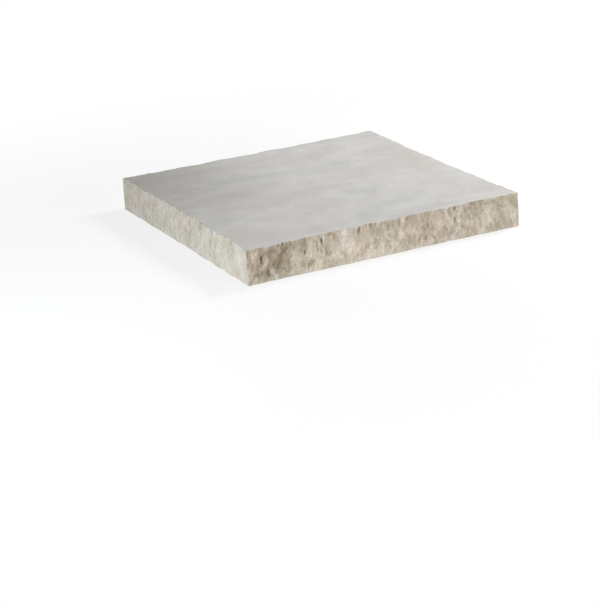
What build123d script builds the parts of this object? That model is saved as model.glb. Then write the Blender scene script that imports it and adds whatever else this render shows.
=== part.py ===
# Rock-faced pillar cap: one square slab of limestone. Its top and underside are sawn flat.
# Its four edges are split and then pitched back with a chisel, which leaves two rows of shallow,
# overlapping spalls along each edge and an uneven ridge between the rows, where the stone keeps
# its full width.
# Millimetres. The origin is at the middle of the underside, +Z is up, and the front edge faces -Y.

import os
from math import sqrt

from build123d import *

# Slab
cap_width = 610.0  # across X, over the proudest points of the rock faces
cap_depth = 610.0  # across Y, over the proudest points of the rock faces
cap_thickness = 70.0  # sawn top to sawn underside

# Spalls struck down from the top arris: the deeper row
upper_pitch = 52.0  # mean distance from one spall to the next
upper_radius = 200.0  # of the scoop that one blow leaves
upper_bite = 4.0  # mean depth of a spall behind the face plane, in the middle of an edge
upper_bite_spread = 1.6  # how much deeper or shallower one may be
upper_stray = 7.0  # how far above or below the top arris a spall may be centred

# Spalls struck up from the bottom arris: the shallower row
lower_pitch = 66.0
lower_radius = 300.0
lower_bite = 1.6
lower_bite_spread = 0.9
lower_stray = 5.0

corner_margin = 10.0  # a row stops this far short of the upright corners, which stay nearly full
corner_easing = 0.5  # share by which the spalls are shallower at a row's ends than in its middle
wander = 0.3  # how far a spall strays along its edge, as a share of the spacing
golden_ratio = (sqrt(5) - 1) / 2
draw_shift = 7  # spalls by which one draw of irregular values is shifted against the next
draws_per_row = 3  # one each for the places, the heights and the depths of a row's spalls


def uneven(index, draw):
    """An irregular but repeatable value from -1 to 1 for one spall of a row."""
    return 2 * (golden_ratio * (index + draw_shift * draw) ** 2 % 1) - 1


def spalls(length, height, pitch, bite, bite_spread, stray, row):
    """Where each spall of a row is centred along the edge and up the face, and how deep it goes."""
    draw = draws_per_row * row
    row_length = length - 2 * corner_margin
    count = max(2, round(row_length / pitch))
    spacing = row_length / count
    for k in range(count):
        along = (k + 0.5 - count / 2 + wander * uneven(k, draw)) * spacing
        level = height + stray * uneven(k, draw + 1)
        fullness = 1 - corner_easing * (2 * along / row_length) ** 2
        yield along, level, fullness * (bite + bite_spread * uneven(k, draw + 2))


# The scoop of one blow in each row, turned so that its poles are well away from the stone
upper_scoop = Sphere(upper_radius, rotation=(90, 0, 0))
lower_scoop = Sphere(lower_radius, rotation=(90, 0, 0))

# The four rock faces: which way each looks out, how far it is from the middle, and its length
rock_faces = [
    (Vector(0, -1, 0), cap_depth / 2, cap_width),
    (Vector(1, 0, 0), cap_width / 2, cap_depth),
    (Vector(0, 1, 0), cap_depth / 2, cap_width),
    (Vector(-1, 0, 0), cap_width / 2, cap_depth),
]

with BuildPart() as pillar_cap:
    Box(cap_width, cap_depth, cap_thickness, align=(Align.CENTER, Align.CENTER, Align.MIN))
    for side, (outward, distance, length) in enumerate(rock_faces):
        rightward = Vector(0, 0, 1).cross(outward)
        face_plane = Plane(origin=outward * distance, x_dir=rightward, z_dir=outward)
        upper_row = spalls(
            length, cap_thickness, upper_pitch, upper_bite, upper_bite_spread, upper_stray, row=2 * side
        )
        lower_row = spalls(
            length, 0, lower_pitch, lower_bite, lower_bite_spread, lower_stray, row=2 * side + 1
        )
        with Locations(face_plane):
            for radius, scoop, row in (
                (upper_radius, upper_scoop, upper_row),
                (lower_radius, lower_scoop, lower_row),
            ):
                for along, height, bite in row:
                    with Locations((along, height, radius - bite)):
                        add(scoop, mode=Mode.SUBTRACT, clean=False)

pillar_cap.part.label = "pillar_cap"

os.makedirs("parts", exist_ok=True)
export_step(pillar_cap.part, "parts/pillar_cap.step")
print("pillar cap", pillar_cap.part.bounding_box().size, "volume", round(pillar_cap.part.volume), "mm3")
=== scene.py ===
# Rock-faced pillar cap: one square slab of limestone, sawn flat above and below.
# Its four edges are split and then pitched back with a chisel, which leaves them uneven.
import math

import bpy
import numpy as np
from mathutils import Matrix, Vector


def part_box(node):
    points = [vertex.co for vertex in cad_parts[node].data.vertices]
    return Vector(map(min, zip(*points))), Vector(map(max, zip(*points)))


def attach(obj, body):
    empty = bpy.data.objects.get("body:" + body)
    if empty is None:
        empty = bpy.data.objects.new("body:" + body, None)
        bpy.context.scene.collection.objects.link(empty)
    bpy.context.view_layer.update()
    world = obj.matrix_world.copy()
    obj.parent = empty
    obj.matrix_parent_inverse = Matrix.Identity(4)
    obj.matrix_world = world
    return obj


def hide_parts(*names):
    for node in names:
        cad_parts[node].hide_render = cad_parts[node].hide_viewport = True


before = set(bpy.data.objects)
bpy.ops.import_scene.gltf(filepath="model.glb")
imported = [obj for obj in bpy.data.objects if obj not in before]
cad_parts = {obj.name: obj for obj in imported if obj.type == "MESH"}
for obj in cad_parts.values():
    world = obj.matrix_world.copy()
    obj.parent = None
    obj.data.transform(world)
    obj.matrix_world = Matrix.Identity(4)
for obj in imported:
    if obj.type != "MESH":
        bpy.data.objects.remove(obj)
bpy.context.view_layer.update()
mm = 0.001  # the frame is in metres, and the stone's own sizes below are in millimetres
capLow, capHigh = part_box("pillar_cap")
print("frame loaded, cap", [round(v, 4) for v in capHigh - capLow])

# The cap. Sizes in mm. Sides are numbered round from the front: front, right, back, left.
# A layer of noise is given by its width along the edge, its height, its strength and its lean, which is
# how far it slides along the edge for each mm of height.
capStone = {
    "seed": 41,  # to which each side adds its number
    "knockSeed": 50,
    "columns": 384,  # grid columns along one edge
    "reliefRows": 72,  # even rows on which the relief is worked out
    "faceRows": 44,  # rows of the mesh up the face, between the arrises
    "arrisRows": (0.0, 0.3, 0.8, 1.5),  # heights of the close rows that round an arris
    # spalls struck along the top and the bottom arris, the same as in the solid
    "upperRow": {"pitch": 52.0, "radius": 200.0, "bite": 4.0, "biteSpread": 1.6, "stray": 7.0},
    "lowerRow": {"pitch": 66.0, "radius": 300.0, "bite": 1.6, "biteSpread": 0.9, "stray": 5.0},
    "cornerMargin": 10.0,  # a row stops this far short of the upright corners, which stay nearly full
    "cornerEasing": 0.5,  # share by which the spalls are shallower at a row's ends than in its middle
    "wander": 0.3,  # how far a spall strays along its edge, as a share of the spacing
    # chips side by side: width along the edge, height, depth, lean
    "chips": ((34.0, 42.0, 2.3, 0.2), (13.0, 27.0, 1.8, 0.28), (5.5, 12.0, 0.95, 0.25)),
    "weakestChip": 0.4,  # depth of the shallowest chip, as a share of the deepest one's
    # what every lean is multiplied by at the left and right end of each side, as the blows fan out
    "sideFan": ((0.8, -0.9), (0.7, -0.4), (0.8, -0.6), (1.0, 0.1)),
    "chipWarp": (13.0, 13.0, 2.6, 0.0),  # the wander, in mm, that makes the chips' outlines irregular
    "grain": (2.8, 2.8, 0.1, 0.0),
    "notch": (8.0, 16.0, 1.0, 0.3),  # the few sharp holes where a piece jumped out
    "notchDepth": 2.6,
    "notchRarity": 1.55,  # how far above the mean the noise must rise before it makes a hole
    "notchRise": (0.44, 0.7),  # shares of the height between which the holes grow to their full depth
    "lowNotch": 0.35,  # depth of the holes below that, as a share
    "patch": (85.0, 85.0, 1.0, 0.0),  # the rougher and smoother stretches of an edge
    "patchRoughness": 0.3,
    "roughnessLimits": (0.45, 1.35),
    "sideRoughness": (1.0, 0.75, 0.95, 0.75),
    "cornerCalm": (26.0, 0.2),  # the chips die out over this length beside a corner, down to this share
    "bottomCalm": (14.0, 0.4),  # and the same above the bottom arris
    # this far from a corner and beyond, the edge stands back by this share of the relief's mean depth
    "reliefSetback": (80.0, 0.5),
    "topWear": 0.9,  # rounding of the top arris
    "bottomWear": 0.5,
    "cornerWear": 3.0,  # rounding of the upright corners
    "crispAngle": 32.0,  # degrees between two faces, from which the edge between them isn't smoothed
    # small pieces knocked off the top arris
    "arrisNoise": (9.0, 9.0, 1.0, 0.0),
    "arrisRarity": (0.6, 2.1),  # where in the noise a knock begins, and where it is worst
    "arrisKnock": 0.9,  # how far the arris is knocked down at its worst
    "knockHeight": 6.0,  # how far down the face a knock reaches
    "knockFade": 1.5,  # and over the top it fades with this length
    # colours, which the material reads off the mesh
    "hollowSize": 6.0,  # how far round a point its surroundings are taken
    "hollowDepth": 1.4,  # depth behind the surroundings that counts as a full hollow
    "sideStain": (0.19, 0.14, 0.18, 0.06),  # mean brown stain of each side
    "stainNoise": (34.0, 40.0, 0.6, 0.2),
    "patchStain": 0.25,  # how much browner the rougher stretches are
    "soilAndShadeNoise": (12.0, 24.0, 0.3, 0.25),
    "palerFoot": (8.0, 16.0, 10.0, 36.0),  # height of the pale bruising along each side's bottom arris
    "mottles": ((40.0, 34.0, 0.38, 0.1), (15.0, 28.0, 0.5, 0.25), (6.5, 16.0, 0.8, 0.28)),
    "sideMottle": (1.25, 0.8, 1.0, 0.75),  # strength of the light and dark mottles on each side
    "toneSpread": 0.2,
    # rougher and browner places, a few of which are also painted shade below the top arris and beside the
    # near corner:
    # side, start and end along it from its left, bottom and top, the border over which the place fades,
    # strength
    "soiledAndShadedPlaces": (
        (0, -40.0, 110.0, -15.0, 110.0, 45.0, 0.62),
        (0, 50.0, 145.0, 12.0, 110.0, 35.0, 0.15),
        # a band below the top arris along the front: painted shade under the arris, with some stain
        (0, 60.0, 650.0, 40.0, 110.0, 16.0, 0.1),
        # a thin dark line on the front beside the near upright corner: painted shade at the corner
        (0, -5.0, 5.0, -40.0, 110.0, 5.0, 0.5),
        # these three darken the front below the top arris: painted shade under the arris, with some stain
        (0, 215.0, 300.0, 44.0, 110.0, 16.0, 0.18),
        (0, 330.0, 480.0, 48.0, 110.0, 18.0, 0.08),
        (0, 560.0, 650.0, 34.0, 110.0, 25.0, 0.22),
        (2, 120.0, 270.0, 40.0, 110.0, 20.0, 0.35),
        (1, 370.0, 530.0, -40.0, 110.0, 40.0, 0.25),
    ),
    # rings of the sawn faces: the first few lead from the ragged arris to a straight ring, and those
    # further in are shrunk copies of it, each with half the columns of the one before until few are left
    "straightInset": 16.0,  # from the face planes to the straight ring, clear of the deepest spall
    "squeeze": 40.0,  # length beside a corner in which its columns are squeezed together to fit it
    "leadingShares": (0.08, 0.25, 1.0),
    "shrunkRings": (0.95, 0.88, 0.77, 0.57, 0.28),
    "mostHalvings": 4,
}
sides = range(4)
outward = np.array([(0, -1), (1, 0), (0, 1), (-1, 0)], float)  # out of each side
rightward = np.array([(1, 0), (0, 1), (-1, 0), (0, -1)], float)  # along each side, as seen from outside


# A repeatable irregular value from -1 to 1: the golden ratio times a square, with the whole part dropped
def uneven(index, draw):
    goldenRatio = (math.sqrt(5) - 1) / 2
    drawShift = 7  # spalls by which one draw is shifted against the next
    return 2 * (goldenRatio * (index + drawShift * draw) ** 2 % 1) - 1


# Depth of a row of scoops: sqrt(R^2 - r^2) - R + bite at a distance r from the centre of a scoop of
# radius R. The deepest scoop wins
def scoopedDepth(along, up, height, spall, row):
    rowLength = along[-1] - along[0] - 2 * capStone["cornerMargin"]
    count = max(2, round(rowLength / spall["pitch"]))
    k = np.arange(count)
    drawsPerRow = 3  # one each for the places, the heights and the depths
    draw = drawsPerRow * row
    centre = (k + 0.5 - count / 2 + capStone["wander"] * uneven(k, draw)) * rowLength / count
    level = height + spall["stray"] * uneven(k, draw + 1)
    fullness = 1 - capStone["cornerEasing"] * (2 * centre / rowLength) ** 2
    bite = fullness * (spall["bite"] + spall["biteSpread"] * uneven(k, draw + 2))
    radius = spall["radius"]
    reach = (along[:, None, None] - centre) ** 2 + (up[None, :, None] - level) ** 2
    depth = np.sqrt(np.maximum(radius**2 - reach, 0)) - radius + bite
    return np.maximum(depth.max(axis=2), 0)


# Depth of chips that cover a face, one at a chance place in each cell of a leaning grid. The nearest chip
# rules: its depth is strength * (1 - r^2) at r cells from its centre, plus a tilt of its own, so that
# chips meet in steps
def chippedDepth(along, up, chip, fan, warp, rng):
    wide, tall, depth, lean = chip
    weakest = capStone["weakestChip"]
    slid = along[:, None] - along[0] + lean * fan * (up[-1] - up[None, :])
    spare = 2 + math.ceil(abs(lean) * up[-1] / wide)  # cells kept free before the first point
    across = (slid + warp[0]) / wide + spare
    above = (up[None, :] + warp[1]) / tall + spare
    column, row = across.astype(int), above.astype(int)
    asideOf, aboveOf, strengthOf, tiltOf = rng.random((4, column.max() + 2, row.max() + 2))
    nearest = np.full(across.shape, np.inf)
    ruling = np.zeros(across.shape)
    for stepAcross, stepAbove in np.ndindex(3, 3):  # the point's own cell and the eight round it
        i = column + stepAcross - 1
        j = row + stepAbove - 1
        aside = across - i - asideOf[i, j]
        reach = aside**2 + (above - j - aboveOf[i, j]) ** 2
        strength = weakest + (1 - weakest) * strengthOf[i, j]
        tilt = tiltOf[i, j] - 0.5  # to either side
        ruling = np.where(reach < nearest, strength * (1 - reach) + tilt * aside, ruling)
        nearest = np.minimum(nearest, reach)
    return depth * ruling


# A field blurred by a Gaussian with a spread along the edge and one up it: of each wave in the field,
# exp(-(k s)^2 / 2) is kept, where k is the wave's number and s the spread
def blurred(field, grid, spreadAlong, spreadUp):
    waveAlong = 2 * np.pi * np.fft.fftfreq(field.shape[0], grid["stepAlong"])[:, None]
    waveUp = 2 * np.pi * np.fft.fftfreq(field.shape[1], grid["stepUp"])[None, :]
    kept = np.exp(-0.5 * ((waveAlong * spreadAlong) ** 2 + (waveUp * spreadUp) ** 2))
    return np.fft.ifft2(np.fft.fft2(field) * kept).real


# White noise blurred to the layer's width and height and scaled to its strength, with each row slid along
# by the lean times its distance below the top
def smoothNoise(grid, layer, rng):
    columns, rows = grid["columns"], grid["rows"]
    width, height, strength, lean = layer
    spreads = 4.4  # a bump in the noise is about this many spreads of the Gaussian wide
    tallRows = 2 * rows  # so that the top doesn't repeat the bottom
    white = rng.standard_normal((columns, tallRows))
    field = blurred(white, grid, width / spreads, height / spreads)[:, :rows]
    row = np.arange(rows)[None, :]
    slide = lean * grid["fan"] * (rows - 1 - row) * grid["stepUp"] / grid["stepAlong"]
    place = np.arange(columns)[:, None] + slide
    before = np.floor(place).astype(int)
    share = place - before
    field = field[before % columns, row] * (1 - share) + field[(before + 1) % columns, row] * share
    return strength * (field - field.mean()) / field.std()


# How soiled and broken an edge is, with the painted shade of some places: the sum of its places'
# strengths, each fading to 0 over its border
def soiledAndShadedShare(side, along, up):
    soiledAndShaded = np.zeros((along.size, up.size))
    fromLeft = (along - along[0])[:, None]
    for onSide, start, end, bottom, top, soft, strength in capStone["soiledAndShadedPlaces"]:
        if onSide == side:
            inLength = np.clip(np.minimum(fromLeft - start, end - fromLeft) / soft, 0, 1)
            inHeight = np.clip(np.minimum(up - bottom, top - up) / soft, 0, 1)[None, :]
            soiledAndShaded += strength * inLength * inHeight
    return soiledAndShaded


# How far each point of one edge lies behind its face plane, in mm: the scoops, plus chips that are deeper
# in rough places, plus grain, plus a few notches, less some of that relief's mean, so that the edge keeps
# its width
def edgeSetback(side, along, up, grid, soiledAndShaded, patch, rng):
    s = capStone
    thickness = up[-1]
    scoops = np.maximum(
        scoopedDepth(along, up, thickness, s["upperRow"], 2 * side),
        scoopedDepth(along, up, 0, s["lowerRow"], 2 * side + 1),
    )
    roughness = np.clip(1 + s["patchRoughness"] * patch + soiledAndShaded, *s["roughnessLimits"])
    roughness *= s["sideRoughness"][side]
    warp = [smoothNoise(grid, s["chipWarp"], rng) for axis in ("along", "up")]
    relief = sum(chippedDepth(along, up, chip, grid["fan"], warp, rng) for chip in s["chips"]) * roughness
    relief += smoothNoise(grid, s["grain"], rng)
    holes = np.clip(smoothNoise(grid, s["notch"], rng) - s["notchRarity"], 0, 1)
    high = np.interp(up / thickness, s["notchRise"], (s["lowNotch"], 1.0))[None, :]
    relief += s["notchDepth"] * holes * high * roughness
    fromEnd = along[-1] - np.abs(along)[:, None]
    cornerLength, cornerLeast = s["cornerCalm"]
    bottomLength, bottomLeast = s["bottomCalm"]
    calm = np.clip(fromEnd / cornerLength, cornerLeast, 1)
    calm = calm * np.clip(up / bottomLength, bottomLeast, 1)[None, :]
    backLength, backShare = s["reliefSetback"]
    regained = 1 - backShare * np.clip(fromEnd / backLength, 0, 1)
    return np.maximum(scoops + (relief - regained * relief.mean()) * calm, 0)


# Brown stain of one edge, from 0 to 1: its mean, varied by noise and by the rough patches, plus the
# soiled places, some of which are painted shade below the top arris and beside the near corner. And its
# tone, from 0, dark, to 1,
# pale: the paler foot plus the mottles
def edgeColours(side, up, grid, soiledAndShaded, patch, rng):
    s = capStone
    stainAndShade = s["sideStain"][side] * (1 + smoothNoise(grid, s["stainNoise"], rng) + s["patchStain"] * patch)
    stainAndShade += soiledAndShaded * (1 + smoothNoise(grid, s["soilAndShadeNoise"], rng))
    tone = np.clip(1 - up / s["palerFoot"][side], 0, 1)[None, :]
    for mottle in s["mottles"]:
        tone = tone + s["sideMottle"][side] * smoothNoise(grid, mottle, rng)
    return np.clip(stainAndShade, 0, 1), np.clip(0.5 + s["toneSpread"] * tone, 0, 1)


# How much deeper a setback is than its surroundings, which are the setback blurred: from 0 on a ridge to
# 1 in a hollow
def hollowShare(setback, grid):
    size = capStone["hollowSize"]
    mirrored = np.concatenate([setback, setback[:, ::-1]], axis=1)  # keeps the top clear of the bottom
    around = blurred(mirrored, grid, size, size)[:, : grid["rows"]]
    return np.clip(0.5 + 0.5 * (setback - around) / capStone["hollowDepth"], 0, 1)


# Values on even rows, read off at other heights by straight lines between the rows
def atHeights(field, thickness, heights):
    last = field.shape[1] - 1
    place = heights / thickness * last
    low = np.clip(place.astype(int), 0, last - 1)
    share = place - low
    return field[:, low] * (1 - share) + field[:, low + 1] * share


# One edge at the mesh's heights: its setback, and its recess, its stain with some painted shade, and its
# tone for the material
def edgeSurface(side, along, thickness, heights):
    rng = np.random.default_rng(capStone["seed"] + side)
    up = np.linspace(0, thickness, capStone["reliefRows"])
    grid = {
        "columns": along.size,
        "rows": up.size,
        "stepAlong": along[1] - along[0],
        "stepUp": up[1] - up[0],
        "fan": np.linspace(*capStone["sideFan"][side], along.size)[:, None],
    }
    soiledAndShaded = soiledAndShadedShare(side, along, up)
    patch = smoothNoise(grid, capStone["patch"], rng)
    setback = edgeSetback(side, along, up, grid, soiledAndShaded, patch, rng)
    stainAndShade, tone = edgeColours(side, up, grid, soiledAndShaded, patch, rng)
    fields = (setback, hollowShare(setback, grid), stainAndShade, tone)
    return [atHeights(field, thickness, heights) for field in fields]


# How far an edge rounded to a radius w falls back, at a distance d from the plane of its other face:
# w - sqrt(w^2 - (w - d)^2)
def roundedBack(distance, wear):
    bend = np.clip(1 - distance / wear, 0, 1)
    return wear * (1 - np.sqrt(1 - bend**2))


# Closed rings round the slab, one for each height: every side's points stand its setback behind its face
# plane, and are spread evenly between the setbacks of its two neighbours
def outlineRings(half, setbacks):
    share = np.linspace(0, 1, capStone["columns"] + 1)[:-1, None]
    points = []
    for side in sides:
        reach = half[side % 2]
        start = setbacks[side - 1][-1] - reach
        end = reach - setbacks[(side + 1) % len(sides)][0]
        place = start * (1 - share) + end * share
        away = half[1 - side % 2] - setbacks[side][:-1]
        points.append(away[..., None] * outward[side] + place[..., None] * rightward[side])
    return np.concatenate(points).transpose(1, 0, 2)


# Heights of the mesh's rows: close together at the two arrises, and even between them
def rowHeights(thickness):
    closeRows = np.array(capStone["arrisRows"])
    faceRows = np.linspace(closeRows[-1], thickness - closeRows[-1], capStone["faceRows"] + 2)[1:-1]
    return np.concatenate([closeRows, faceRows, thickness - closeRows[::-1]])


# The four edges together: their rings, row by row, and the recess, the stain with some painted shade, and
# the tone at every point of them.
# A setback here is the stone's own, plus the rounding of the arrises and of the upright corners
def edgeRings(half, thickness, heights):
    cornerWear = capStone["cornerWear"]
    turned = cornerWear * (1 - math.sqrt(0.5))  # from both face planes to the middle of a rounded corner
    arrisBack = roundedBack(thickness - heights, capStone["topWear"])
    arrisBack += roundedBack(heights, capStone["bottomWear"])
    setbacks, shades = [], []
    for side in sides:
        reach = half[side % 2]
        along = np.linspace(-reach, reach, capStone["columns"] + 1)
        setback, *shade = edgeSurface(side, along, thickness, heights)
        cornerBack = roundedBack(reach - np.abs(along) + turned, cornerWear)
        setbacks.append(setback + arrisBack + cornerBack[:, None])
        shades.append([field[:-1] for field in shade])
    print("deepest setback", round(max(setback.max() for setback in setbacks), 1), "mm")
    return outlineRings(half, setbacks), [np.concatenate(fields).T for fields in zip(*shades)]


# How far each column of the top arris is knocked down: nothing where the noise is low, and from there
# straight up to the worst knock
def arrisKnocks(half, columns):
    step = 4 * half.sum() / columns
    rows = 4  # of which one is used
    grid = {"columns": columns, "rows": rows, "stepAlong": step, "stepUp": step, "fan": 0.0}
    noise = smoothNoise(grid, capStone["arrisNoise"], np.random.default_rng(capStone["knockSeed"]))[:, 0]
    return np.interp(noise, capStone["arrisRarity"], (0.0, capStone["arrisKnock"]))


# A straight ring inside the arris: its columns stand square behind the arris's, and closer at a corner
def straightRing(half):
    inset, squeeze = capStone["straightInset"], capStone["squeeze"]
    points = []
    for side in sides:
        reach = half[side % 2]
        even = np.linspace(-reach, reach, capStone["columns"] + 1)[:-1]
        place = np.interp(
            even,
            (-reach, squeeze - reach, reach - squeeze, reach),
            (inset - reach, squeeze - reach, reach - squeeze, reach - inset),
        )
        points.append((half[1 - side % 2] - inset) * outward[side] + place[:, None] * rightward[side])
    return np.concatenate(points)


# Points over a sawn face, ring by ring: shares of the way from the arris to the straight ring, then
# shrunk copies of it. The knocks in the arris fade out as exp(-d / fade) at a distance d inside it
def sawnRings(outline, half, level, knock):
    straight = straightRing(half)
    rings = []
    for share in capStone["leadingShares"]:
        dip = knock * math.exp(-share * capStone["straightInset"] / capStone["knockFade"])
        rings.append(np.column_stack([outline + share * (straight - outline), level - dip]))
    for k, shrink in enumerate(capStone["shrunkRings"]):
        plan = shrink * straight[:: 2 ** min(k + 1, capStone["mostHalvings"])]
        rings.append(np.column_stack([plan, np.full(len(plan), level)]))
    return rings


# Faces between two closed rings of vertex numbers. The second has as many as the first, or half as many
def bridge(ring, nextRing):
    after = np.roll(ring, -1)
    nextAfter = np.roll(nextRing, -1)
    if ring.size == nextRing.size:
        return np.stack([ring, after, nextAfter, nextRing], axis=1).tolist()
    first, middle, last = ring[0::2], ring[1::2], after[1::2]
    triangles = ((first, middle, nextRing), (middle, nextAfter, nextRing), (middle, last, nextAfter))
    return np.concatenate([np.stack(corners, axis=1) for corners in triangles]).tolist()


# Points and faces of the slab: the rings round its broken edges, from the bottom arris to the top one,
# then rings over the top and over the underside, each closed by a fan at the middle
def slabFaces(rings, levels, half, thickness, knock):
    numbers = np.arange(levels.size).reshape(levels.shape)
    points = [np.dstack([rings, levels]).reshape(-1, 3)]
    rockFaces, sawnFaces = [], []
    for ring, nextRing in zip(numbers[:-1], numbers[1:]):
        rockFaces += bridge(ring, nextRing)
    count = numbers.size
    for isTop, row, level in ((True, -1, thickness), (False, 0, 0.0)):
        ring = numbers[row]
        faces = []
        for ringPoints in sawnRings(rings[row], half, level, knock * isTop):
            nextRing = np.arange(count, count + len(ringPoints))
            faces += bridge(ring, nextRing)
            points.append(ringPoints)
            ring = nextRing
            count += len(ringPoints)
        faces += np.stack([ring, np.roll(ring, -1), np.full(ring.size, count)], axis=1).tolist()
        points.append(np.array([(0.0, 0.0, level)]))
        count += 1
        sawnFaces += faces if isTop else [face[::-1] for face in faces]
    return np.concatenate(points), rockFaces, sawnFaces


# The whole slab as a mesh, with the attributes that its materials read
def pillarCapMesh(low, high):
    size = (high - low) / mm
    half = np.array([size.x, size.y]) / 2
    heights = rowHeights(size.z)
    rings, shades = edgeRings(half, size.z, heights)
    knock = arrisKnocks(half, rings.shape[1])
    reached = np.clip(1 - (size.z - heights) / capStone["knockHeight"], 0, 1)
    levels = heights[:, None] - reached[:, None] * knock
    points, rockFaces, sawnFaces = slabFaces(rings, levels, half, size.z, knock)

    middle = (low + high) / 2
    placed = points * mm + np.array([middle.x, middle.y, low.z])
    mesh = bpy.data.meshes.new("pillarCapStone")
    mesh.from_pydata(placed, [], rockFaces + sawnFaces)
    mesh.polygons.foreach_set("use_smooth", np.ones(len(mesh.polygons), bool))
    finish = np.repeat(np.array([0, 1], np.int32), [len(rockFaces), len(sawnFaces)])
    mesh.polygons.foreach_set("material_index", finish)
    onSawn = {"recess": 0.5, "stainAndShade": 0.0, "tone": 0.5}
    for name, shade in zip(onSawn, shades):
        values = np.full(len(points), onSawn[name])
        values[: shade.size] = shade.reshape(-1)
        mesh.attributes.new(name, "FLOAT", "POINT").data.foreach_set("value", values)
    mesh.update()
    mesh.validate()
    mesh.set_sharp_from_angle(angle=math.radians(capStone["crispAngle"]))
    triangles = sum(len(face) - 2 for face in rockFaces + sawnFaces)
    print("cap mesh", len(mesh.vertices), "vertices", triangles, "triangles")
    return mesh


# sRGB hex to the linear values that shader sockets take, by the sRGB curve
def linear(hexColour):
    channels = [int(hexColour[i : i + 2], 16) / 255 for i in (1, 3, 5)]
    return (*[c / 12.92 if c <= 0.04045 else ((c + 0.055) / 1.055) ** 2.4 for c in channels], 1.0)


# Adds a node, sets its properties, sets or links its inputs, and gives a ramp its stops, each a place and
# a hex colour
def addNode(tree, kind, inputs=None, stops=(), **settings):
    made = tree.nodes.new("ShaderNode" + kind)
    for name, value in settings.items():
        setattr(made, name, value)
    for socket, value in (inputs or {}).items():
        if isinstance(value, bpy.types.NodeSocket):
            tree.links.new(value, made.inputs[socket])
        else:
            made.inputs[socket].default_value = value
    for k, (place, colour) in enumerate(stops):
        elements = made.color_ramp.elements
        if k >= len(elements):
            elements.new(place)
        elements[k].position = place
        elements[k].color = linear(colour)
    return made


# A material with nothing in its node tree yet
def newMaterial(name):
    material = bpy.data.materials.new(name)
    material.use_nodes = True
    material.node_tree.nodes.clear()
    return material, material.node_tree


# A Mix node's sockets for colours, and the two ways in which colours are mixed here
mixShare, mixFirst, mixSecond, mixResult = 0, 6, 7, 2
over = {"data_type": "RGBA"}
multiply = {"data_type": "RGBA", "blend_type": "MULTIPLY"}

# Split limestone: a matt, granular break. Ridges are bruised pale, hollows are darkened by painted shade
# and keep a brown tinge of dirt where the stone is stained, and the stone itself shows as buff, grey and
# faintly pink mottling that leans with the break.
splitStone = {
    "mottle": ((0.1, "#b6ada0"), (0.5, "#cac2b5"), (0.9, "#d7d0c5")),  # over the tone, from dark to pale
    "tint": ((0.38, "#fafbf6"), (0.5, "#ffffff"), (0.62, "#fffaf7")),  # times this, green to pink
    "tintPatch": 55.0,  # mm
    "tintNoise": {"Detail": 0.6},
    "stainAndShade": "#918370",
    # colour of the hollows: painted shade, with brown dirt where the stone is stained
    "hollow": "#6b5a47",
    "hollowFrom": 0.55,  # recess at which a hollow begins to darken
    "hollowShare": (0.2, 0.75),  # how dark a full hollow is made, as painted shade and dirt, in clean stone, and how much more in stained
    "ridge": "#dcd6cb",
    "ridgeBetween": (0.42, 0.1),  # recess at which a ridge begins to pale, and at which it is palest
    "ridgeShare": 0.47,  # how pale a full ridge is in clean stone; the stain, with the painted shade it holds, takes its share off that
    "grit": 4.5,  # mm, coarser than the real grains, so that it shows
    "gritNoise": {"Detail": 2.0, "Roughness": 0.7},
    "gritTone": ((0.3, "#cfc8bd"), (0.6, "#ffffff")),
    "gritShare": 0.6,
    "gritDepth": 0.8,  # mm
    "sugar": 1.6,  # mm, the crystals of the break, drawn coarser than they are, so that they show
    "sugarNoise": {"Detail": 1.0},
    "sugarDepth": 0.5,  # mm
    "roughness": 0.9,
    "ior": 1.5,
}


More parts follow.
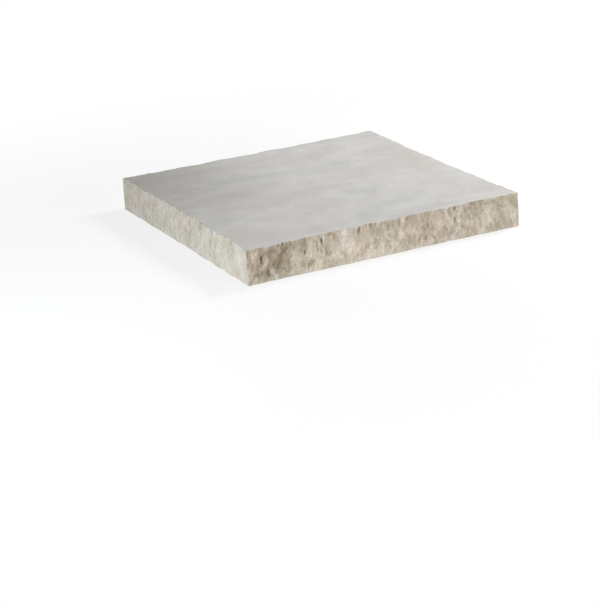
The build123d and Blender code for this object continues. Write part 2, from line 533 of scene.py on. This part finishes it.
def splitLimestone():
    s = splitStone
    material, tree = newMaterial("splitLimestone")
    place = addNode(tree, "TexCoord").outputs["Object"]
    tone, stainAndShade, recess = (
        addNode(tree, "Attribute", attribute_name=name).outputs["Fac"]
        for name in ("tone", "stainAndShade", "recess")
    )
    mottled = addNode(tree, "ValToRGB", {"Fac": tone}, s["mottle"]).outputs["Color"]
    patch = addNode(
        tree, "TexNoise", {"Vector": place, "Scale": 1 / (s["tintPatch"] * mm), **s["tintNoise"]}
    ).outputs["Fac"]
    tint = addNode(tree, "ValToRGB", {"Fac": patch}, s["tint"]).outputs["Color"]
    tinted = addNode(
        tree, "Mix", {mixShare: 1.0, mixFirst: mottled, mixSecond: tint}, **multiply
    ).outputs[mixResult]
    # the brown stain, which below the top arris and beside the near corner is painted shade
    stainedAndShaded = addNode(
        tree, "Mix", {mixShare: stainAndShade, mixFirst: tinted, mixSecond: linear(s["stainAndShade"])}, **over
    ).outputs[mixResult]
    grit = addNode(
        tree, "TexNoise", {"Vector": place, "Scale": 1 / (s["grit"] * mm), **s["gritNoise"]}
    ).outputs["Fac"]
    gritTone = addNode(tree, "ValToRGB", {"Fac": grit}, s["gritTone"]).outputs["Color"]
    gritty = addNode(
        tree, "Mix", {mixShare: s["gritShare"], mixFirst: stainedAndShaded, mixSecond: gritTone}, **multiply
    ).outputs[mixResult]

    # the hollows darkened: painted shade, and dirt, more of it where the stone is stained
    deep = addNode(
        tree, "MapRange", {"Value": recess, "From Min": s["hollowFrom"], "From Max": 1.0}
    ).outputs["Result"]
    cleanShare, stainedShare = s["hollowShare"]
    dirtAndShadeAmount = addNode(
        tree, "Math", {0: stainAndShade, 1: stainedShare, 2: cleanShare}, operation="MULTIPLY_ADD"
    ).outputs["Value"]
    hollowDirtAndShade = addNode(tree, "Math", {0: deep, 1: dirtAndShadeAmount}, operation="MULTIPLY").outputs["Value"]
    hollowed = addNode(
        tree, "Mix", {mixShare: hollowDirtAndShade, mixFirst: gritty, mixSecond: linear(s["hollow"])}, **over
    ).outputs[mixResult]

    # bruising on the ridges, less of it where the stain, with the painted shade it holds, is high
    ridgeStart, ridgeEnd = s["ridgeBetween"]
    palest = addNode(
        tree, "Math", {0: stainAndShade, 1: -s["ridgeShare"], 2: s["ridgeShare"]}, operation="MULTIPLY_ADD"
    ).outputs["Value"]
    proud = addNode(
        tree,
        "MapRange",
        {"Value": recess, "From Min": ridgeStart, "From Max": ridgeEnd, "To Max": palest},
    ).outputs["Result"]
    bruised = addNode(
        tree, "Mix", {mixShare: proud, mixFirst: hollowed, mixSecond: linear(s["ridge"])}, **over
    ).outputs[mixResult]

    sugar = addNode(
        tree, "TexNoise", {"Vector": place, "Scale": 1 / (s["sugar"] * mm), **s["sugarNoise"]}
    ).outputs["Fac"]
    sugarBump = addNode(
        tree, "Bump", {"Height": sugar, "Distance": s["sugarDepth"] * mm, "Strength": 1.0}
    ).outputs["Normal"]
    bump = addNode(
        tree,
        "Bump",
        {"Height": grit, "Distance": s["gritDepth"] * mm, "Strength": 1.0, "Normal": sugarBump},
    ).outputs["Normal"]
    shader = addNode(
        tree,
        "BsdfPrincipled",
        {"Base Color": bruised, "Roughness": s["roughness"], "IOR": s["ior"], "Normal": bump},
    )
    addNode(tree, "OutputMaterial", {"Surface": shader.outputs["BSDF"]})
    return material


# Sawn limestone: a smooth, dull, pale grey face. The bedding runs with the saw, as faint brown and
# greenish-grey bands along the front edge under a soft cloudiness, with fine flecks of shell.
sawnStone = {
    # from brown to green
    "bedding": ((0.3, "#cbc5c0"), (0.45, "#cecbc6"), (0.55, "#d3d1cb"), (0.7, "#c9c8c3")),
    "band": (190.0, 75.0),  # mm along X and across
    "bandNoise": {"Detail": 1.2, "Distortion": 0.4},
    "cloud": 45.0,  # mm
    "cloudNoise": {"Detail": 3.0},
    "cloudTone": ((0.3, "#eeebe6"), (0.65, "#ffffff")),
    "cloudShare": 0.45,
    "fleck": 4.0,  # mm, coarser than the real flecks, so that they show
    "fleckNoise": {"Detail": 2.0},
    "fleckTone": ((0.3, "#edebe7"), (0.6, "#ffffff")),
    "fleckShare": 0.5,
    "cornerShade": "#cac9c6",  # what the top is multiplied by towards its back left corner: painted shade
    "cornerShadeReach": (330.0, 600.0),  # mm along X and Y
    "sawDepth": 0.05,  # mm
    "roughness": 0.72,
    "ior": 1.5,
}


def sawnLimestone():
    s = sawnStone
    material, tree = newMaterial("sawnLimestone")
    place = addNode(tree, "TexCoord").outputs["Object"]
    along, across = (1 / (size * mm) for size in s["band"])
    stretched = addNode(
        tree, "Mapping", {"Vector": place, "Scale": (along, across, across)}
    ).outputs["Vector"]
    band = addNode(tree, "TexNoise", {"Vector": stretched, "Scale": 1.0, **s["bandNoise"]}).outputs["Fac"]
    bedded = addNode(tree, "ValToRGB", {"Fac": band}, s["bedding"]).outputs["Color"]
    cloud = addNode(
        tree, "TexNoise", {"Vector": place, "Scale": 1 / (s["cloud"] * mm), **s["cloudNoise"]}
    ).outputs["Fac"]
    cloudTone = addNode(tree, "ValToRGB", {"Fac": cloud}, s["cloudTone"]).outputs["Color"]
    clouded = addNode(
        tree, "Mix", {mixShare: s["cloudShare"], mixFirst: bedded, mixSecond: cloudTone}, **multiply
    ).outputs[mixResult]
    fleck = addNode(
        tree, "TexNoise", {"Vector": place, "Scale": 1 / (s["fleck"] * mm), **s["fleckNoise"]}
    ).outputs["Fac"]
    fleckTone = addNode(tree, "ValToRGB", {"Fac": fleck}, s["fleckTone"]).outputs["Color"]
    flecked = addNode(
        tree, "Mix", {mixShare: s["fleckShare"], mixFirst: clouded, mixSecond: fleckTone}, **multiply
    ).outputs[mixResult]

    # painted shade darkening the top towards its back left corner: the distance from it is measured in
    # reaches, so that it fades out over an oval
    reachX, reachY = (size * mm for size in s["cornerShadeReach"])
    fromCorner = addNode(
        tree,
        "Mapping",
        {
            "Vector": place,
            "Scale": (1 / reachX, 1 / reachY, 0.0),
            "Location": (-capLow.x / reachX, -capHigh.y / reachY, 0.0),
        },
    ).outputs["Vector"]
    away = addNode(tree, "VectorMath", {0: fromCorner}, operation="LENGTH").outputs["Value"]
    cornerShade = addNode(
        tree,
        "MapRange",
        {"Value": away, "From Min": 1.0, "From Max": 0.0},
        interpolation_type="SMOOTHSTEP",
    ).outputs["Result"]
    cornerShaded = addNode(
        tree, "Mix", {mixShare: cornerShade, mixFirst: flecked, mixSecond: linear(s["cornerShade"])}, **multiply
    ).outputs[mixResult]

    bump = addNode(
        tree, "Bump", {"Height": fleck, "Distance": s["sawDepth"] * mm, "Strength": 1.0}
    ).outputs["Normal"]
    shader = addNode(
        tree,
        "BsdfPrincipled",
        {"Base Color": cornerShaded, "Roughness": s["roughness"], "IOR": s["ior"], "Normal": bump},
    )
    addNode(tree, "OutputMaterial", {"Surface": shader.outputs["BSDF"]})
    return material


capMesh = pillarCapMesh(capLow, capHigh)
capMesh.materials.append(splitLimestone())
capMesh.materials.append(sawnLimestone())
cap = bpy.data.objects.new("pillarCap", capMesh)
bpy.context.collection.objects.link(cap)
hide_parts("pillar_cap")
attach(cap, "root")
print("stone placed")

# Pale studio floor: seen by the camera it is white, apart from the soft shadow beside the cap, and to the
# stone it is a mid grey that throws little light up
studio = {
    "floorSize": 60.0,  # m
    "floorDrop": 0.0002,  # m below the cap's underside, so that the two don't flicker
    "white": "#ffffff",
    "floorBounce": "#b4b2ae",
    "floorGlow": (0.72, 1.0),  # share of its look that stays white in shadow, near the cap and far off
    "glowReach": (0.5, 1.3),  # m from the middle of the cap, where near ends and far begins
    "skyLevel": 0.4,
    "skyColour": "#f6f8ff",
}


# 1 for what the camera sees by itself, in a gloss or through glass, and 0 for light on the stone
def seenDirectly(tree):
    path = addNode(tree, "LightPath").outputs
    seen = path["Is Camera Ray"]
    for kind in ("Is Glossy Ray", "Is Transmission Ray"):
        seen = addNode(tree, "Math", {0: seen, 1: path[kind]}, operation="MAXIMUM").outputs["Value"]
    return seen


def floorPaper():
    material, tree = newMaterial("studioFloorPaper")
    seen = seenDirectly(tree)
    colour = addNode(
        tree,
        "Mix",
        {mixShare: seen, mixFirst: linear(studio["floorBounce"]), mixSecond: linear(studio["white"])},
        **over,
    ).outputs[mixResult]
    paper = addNode(tree, "BsdfDiffuse", {"Color": colour}).outputs["BSDF"]
    glow = addNode(
        tree, "Emission", {"Color": linear(studio["white"]), "Strength": 1.0}
    ).outputs["Emission"]
    place = addNode(tree, "TexCoord").outputs["Object"]
    away = addNode(tree, "VectorMath", {0: place}, operation="LENGTH").outputs["Value"]
    (nearEnd, farStart), (nearShare, farShare) = studio["glowReach"], studio["floorGlow"]
    glowing = addNode(
        tree,
        "MapRange",
        {
            "Value": away,
            "From Min": nearEnd,
            "From Max": farStart,
            "To Min": nearShare,
            "To Max": farShare,
        },
        interpolation_type="SMOOTHSTEP",
    ).outputs["Result"]
    share = addNode(tree, "Math", {0: seen, 1: glowing}, operation="MULTIPLY").outputs["Value"]
    surface = addNode(tree, "MixShader", {0: share, 1: paper, 2: glow}).outputs["Shader"]
    addNode(tree, "OutputMaterial", {"Surface": surface})
    return material


def studioFloor():
    half = studio["floorSize"] / 2
    level = capLow.z - studio["floorDrop"]
    corners = [(-half, -half, level), (half, -half, level), (half, half, level), (-half, half, level)]
    mesh = bpy.data.meshes.new("studioFloor")
    mesh.from_pydata(corners, [], [(0, 1, 2, 3)])
    mesh.materials.append(floorPaper())
    floor = bpy.data.objects.new("studioFloor", mesh)
    bpy.context.collection.objects.link(floor)


def studioSky():
    world = bpy.data.worlds.new("studioSky")
    bpy.context.scene.world = world
    world.use_nodes = True
    tree = world.node_tree
    tree.nodes.clear()
    soft, white = (
        addNode(tree, "Background", {"Color": linear(colour), "Strength": level}).outputs["Background"]
        for colour, level in ((studio["skyColour"], studio["skyLevel"]), (studio["white"], 1.0))
    )
    surface = addNode(tree, "MixShader", {0: seenDirectly(tree), 1: soft, 2: white}).outputs["Shader"]
    addNode(tree, "OutputWorld", {"Surface": surface})


# Softboxes: where each hangs, in metres from the cap's middle, its width and height in metres, its power
# in watts and its colour
softboxes = {
    "leftKey": {"at": (-1.45, -0.64, 0.14), "size": (0.5, 0.3), "power": 15.8, "colour": "#ecf5fd"},
    "rightTopLight": {"at": (1.5, 0.1, 1.35), "size": (0.6, 0.6), "power": 25.0, "colour": "#ffffff"},
    "frontFill": {"at": (0.7, -2.3, 0.4), "size": (1.2, 0.7), "power": 31.0, "colour": "#fffdf8"},
    "backFill": {"at": (-0.3, 2.3, 0.1), "size": (1.4, 0.24), "power": 18.0, "colour": "#ffffff"},
}


def hangSoftboxes():
    aim = Vector((0.0, 0.0, capHigh.z / 2))
    for name, box in softboxes.items():
        lamp = bpy.data.lights.new(name, "AREA")
        lamp.shape = "RECTANGLE"
        lamp.size, lamp.size_y = box["size"]
        lamp.energy = box["power"]
        lamp.color = linear(box["colour"])[:3]
        holder = bpy.data.objects.new(name, lamp)
        holder.location = aim + Vector(box["at"])
        holder.rotation_euler = (aim - holder.location).to_track_quat("-Z", "Y").to_euler()
        holder.visible_camera = False
        bpy.context.collection.objects.link(holder)


# The photograph's view: a long lens from the front left and a little above, tilted a few degrees
cameraSet = {
    "azimuth": -26.2,  # degrees round from the front, to the left
    "elevation": 20.0,
    "roll": -3.4,
    "distance": 4.108,  # m from the middle of the underside, along the view
    "aside": (0.033, 0.181),  # m by which the cap lies right of and above the middle of the view
    "lens": 116.5,  # mm
    "sensor": 36.0,  # mm
    "clipEnd": 200.0,  # m
}


def setCamera():
    c = cameraSet
    turn, rise, roll = (math.radians(c[key]) for key in ("azimuth", "elevation", "roll"))
    back = Vector((math.sin(turn) * math.cos(rise), -math.cos(turn) * math.cos(rise), math.sin(rise)))
    level = Vector((math.cos(turn), math.sin(turn), 0.0))
    upright = back.cross(level)
    right = level * math.cos(roll) + upright * math.sin(roll)
    up = upright * math.cos(roll) - level * math.sin(roll)
    data = bpy.data.cameras.new("photoCamera")
    data.sensor_width = c["sensor"]
    data.lens = c["lens"]
    data.clip_end = c["clipEnd"]
    camera = bpy.data.objects.new("photoCamera", data)
    axes = Matrix((right, up, back)).transposed().to_4x4()
    place = back * c["distance"] - right * c["aside"][0] - up * c["aside"][1]
    camera.matrix_world = Matrix.Translation(place) @ axes
    bpy.context.collection.objects.link(camera)
    bpy.context.scene.camera = camera


studioFloor()
studioSky()
hangSoftboxes()
setCamera()
bpy.context.scene.view_settings.view_transform = "Standard"
print("studio ready")
